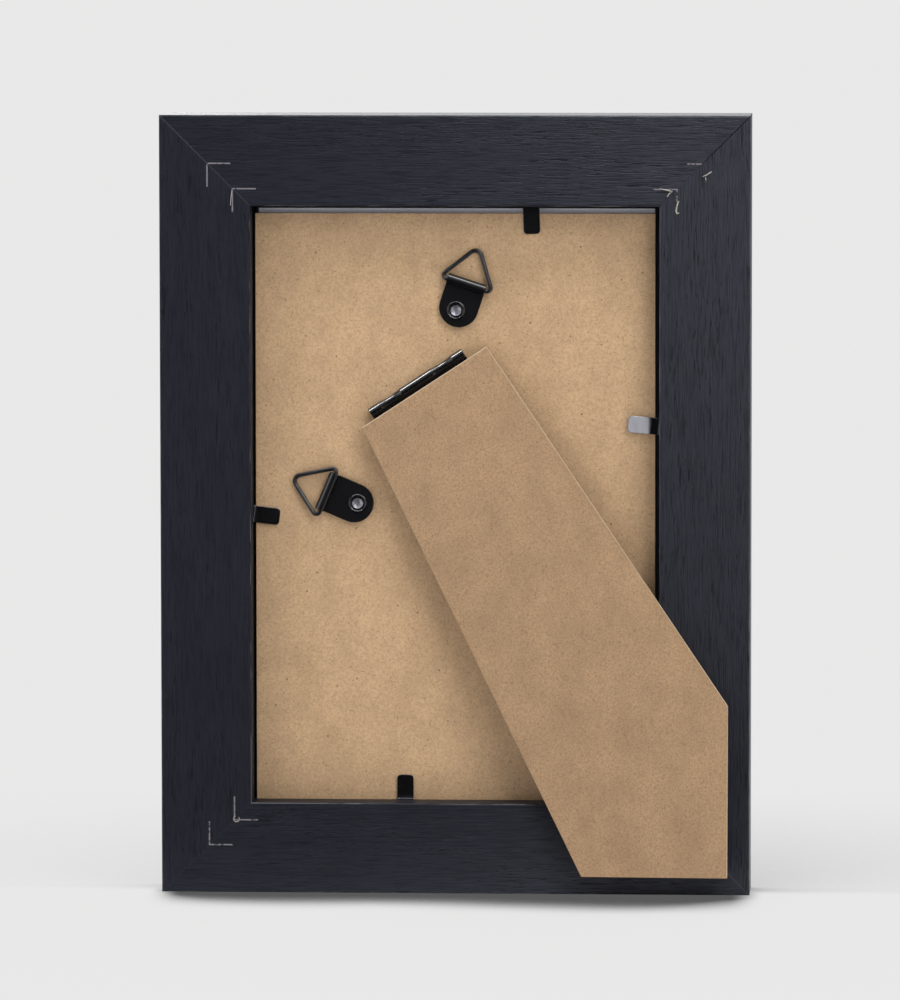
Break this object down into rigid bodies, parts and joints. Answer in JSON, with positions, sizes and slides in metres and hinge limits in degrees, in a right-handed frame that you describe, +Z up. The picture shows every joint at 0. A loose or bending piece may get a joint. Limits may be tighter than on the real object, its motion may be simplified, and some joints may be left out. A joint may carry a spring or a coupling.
{
  "type": "easel back photo frame",
  "caption": "Picture frame with mitred moulding, glass, a backing board held by bendable tabs, a slanted folding easel leg on a rolled hinge, and swivelling hanger rings.",
  "frame": {"origin": "middle of the bottom edge that the frame stands on, halfway through its depth", "axes": "+Z up along the long side, +X to the right as seen from behind, -Y out of the back with the leg, +Y out of the picture side"},
  "size_m": [0.1518, 0.0244, 0.2008],
  "materials": {
    "moulding": "fibreboard wrapped in black film embossed with fine wood grain, satin",
    "nail_steel": "bright sheared edges",
    "glass": "clear float glass",
    "insert_card": "uncoated white card",
    "hardboard": "smooth tan hardboard",
    "leg_fibreboard": "raw fibreboard",
    "black_steel": "gloss black",
    "ring_wire": "black oxide wire",
    "tab_steel": "black spring steel"
  },
  "bodies": {
    "frame_body": {"rail_top": "moulding", "rail_bottom": "moulding", "rail_left": "moulding", "rail_right": "moulding", "nails_top_left": "nail_steel", "nails_top_right": "nail_steel", "nails_bottom_left": "nail_steel", "nails_bottom_right": "nail_steel", "glass_pane": "glass", "photo_insert": "insert_card", "backing_board": "hardboard", "hinge_board_leaf": "black_steel", "hanger_upper_rivet": "black_steel", "hanger_side_rivet": "black_steel", "tab_top_anchor": "tab_steel", "tab_bottom_anchor": "tab_steel", "tab_left_anchor": "tab_steel", "tab_right_anchor": "tab_steel"},
    "leg": {"easel_leg": "leg_fibreboard", "hinge_leg_leaf": "black_steel"},
    "upper_hanger": {"hanger_upper_strap": "black_steel"},
    "upper_ring": {"hanger_upper_ring": "ring_wire"},
    "side_hanger": {"hanger_side_strap": "black_steel"},
    "side_ring": {"hanger_side_ring": "ring_wire"},
    "top_tab": {"tab_top_blade": "tab_steel"},
    "bottom_tab": {"tab_bottom_blade": "tab_steel"},
    "left_tab": {"tab_left_blade": "tab_steel"},
    "right_tab": {"tab_right_blade": "tab_steel"}
  },
  "joints": [
    {"name": "leg_hinge", "type": "hinge", "parent": "frame_body", "child": "leg", "pos_m": [-0.00995, -0.0013, 0.13151], "axis": [-0.8368, 0, -0.5476], "range_deg": [0, 28.4]},
    {"name": "upper_hanger_swivel", "type": "hinge", "parent": "frame_body", "child": "upper_hanger", "pos_m": [0, -0.0004, 0.1503], "axis": [0, -1, 0], "range_deg": [-72, 108]},
    {"name": "upper_ring_swing", "type": "hinge", "parent": "upper_hanger", "child": "upper_ring", "pos_m": [0.00262, -0.00125, 0.15691], "axis": [0.9511, 0, -0.309], "range_deg": [0, 172]},
    {"name": "side_hanger_swivel", "type": "hinge", "parent": "frame_body", "child": "side_hanger", "pos_m": [-0.02546, -0.0004, 0.1004], "axis": [0, -1, 0], "range_deg": [-67, 113]},
    {"name": "side_ring_swing", "type": "hinge", "parent": "side_hanger", "child": "side_ring", "pos_m": [-0.03318, -0.00125, 0.10308], "axis": [0.3907, 0, 0.9205], "range_deg": [0, 172]},
    {"name": "top_tab_bend", "type": "hinge", "parent": "frame_body", "child": "top_tab", "pos_m": [0.01932, -0.00017, 0.1768], "axis": [-0.9994, 0, -0.0349], "range_deg": [0, 90]},
    {"name": "bottom_tab_bend", "type": "hinge", "parent": "frame_body", "child": "bottom_tab", "pos_m": [-0.0133, -0.00017, 0.024], "axis": [1, 0, 0], "range_deg": [0, 90]},
    {"name": "left_tab_bend", "type": "hinge", "parent": "frame_body", "child": "left_tab", "pos_m": [-0.0519, -0.00017, 0.09743], "axis": [-0.1184, 0, -0.993], "range_deg": [0, 90]},
    {"name": "right_tab_bend", "type": "hinge", "parent": "frame_body", "child": "right_tab", "pos_m": [0.0519, -0.00017, 0.12046], "axis": [0.1011, 0, 0.9949], "range_deg": [0, 80]}
  ]
}
